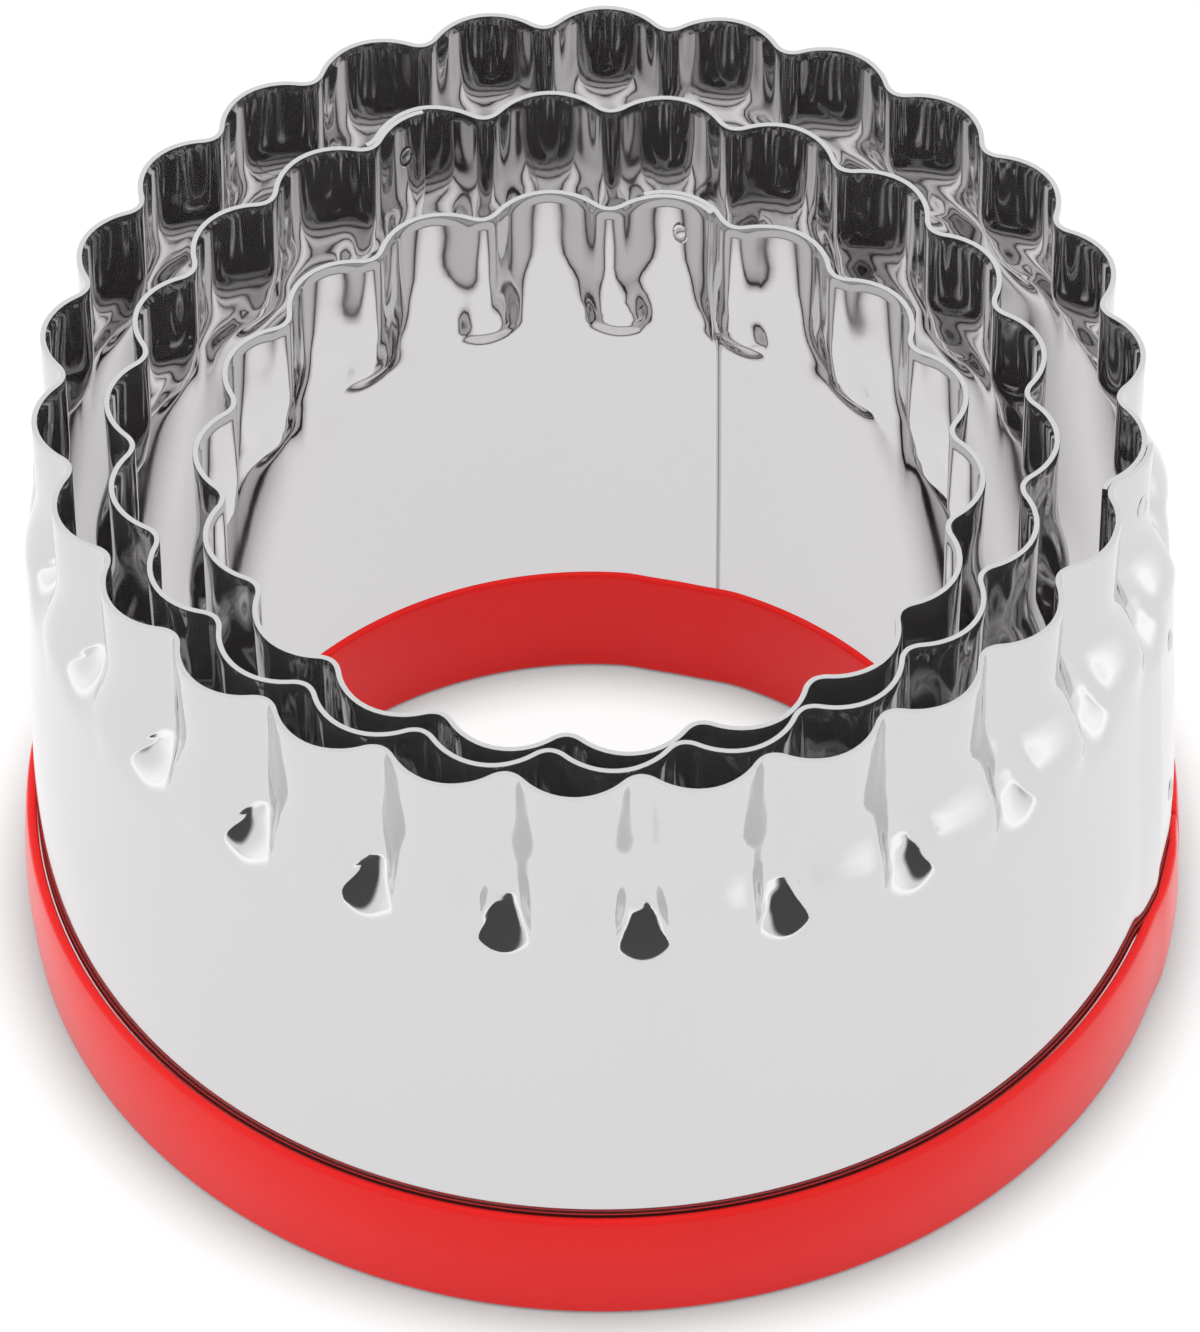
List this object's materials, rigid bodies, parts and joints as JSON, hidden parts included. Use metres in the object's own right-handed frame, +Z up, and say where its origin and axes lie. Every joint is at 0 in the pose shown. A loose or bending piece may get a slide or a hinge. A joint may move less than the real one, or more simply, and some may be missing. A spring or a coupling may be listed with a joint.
{
  "type": "biscuit cutter",
  "caption": "Nested set of round fluted biscuit cutters: lapped and spot-welded steel strips with soft edging on the plain ends, standing with the fluted cutting edges up.",
  "frame": {"origin": "centre of the largest cutter's edging, on the surface the set stands on", "axes": "+Z up through the cutting edges, -Y towards the side where the nested cutters meet"},
  "size_m": [0.0846, 0.0846, 0.0508],
  "materials": {
    "steel": "polished stainless strip",
    "edging": "glossy moulded vinyl"
  },
  "bodies": {
    "inner_cutter": {"inner_band": "steel", "inner_edging": "edging"},
    "middle_cutter": {"middle_band": "steel", "middle_edging": "edging"},
    "outer_cutter": {"outer_band": "steel", "outer_edging": "edging"}
  },
  "joints": [
    {"name": "middle_lift", "type": "slide", "parent": "inner_cutter", "child": "middle_cutter", "axis": [0, 0, 1], "range_m": [0, 0.06]},
    {"name": "outer_lift", "type": "slide", "parent": "middle_cutter", "child": "outer_cutter", "axis": [0, 0, 1], "range_m": [0, 0.06]}
  ]
}
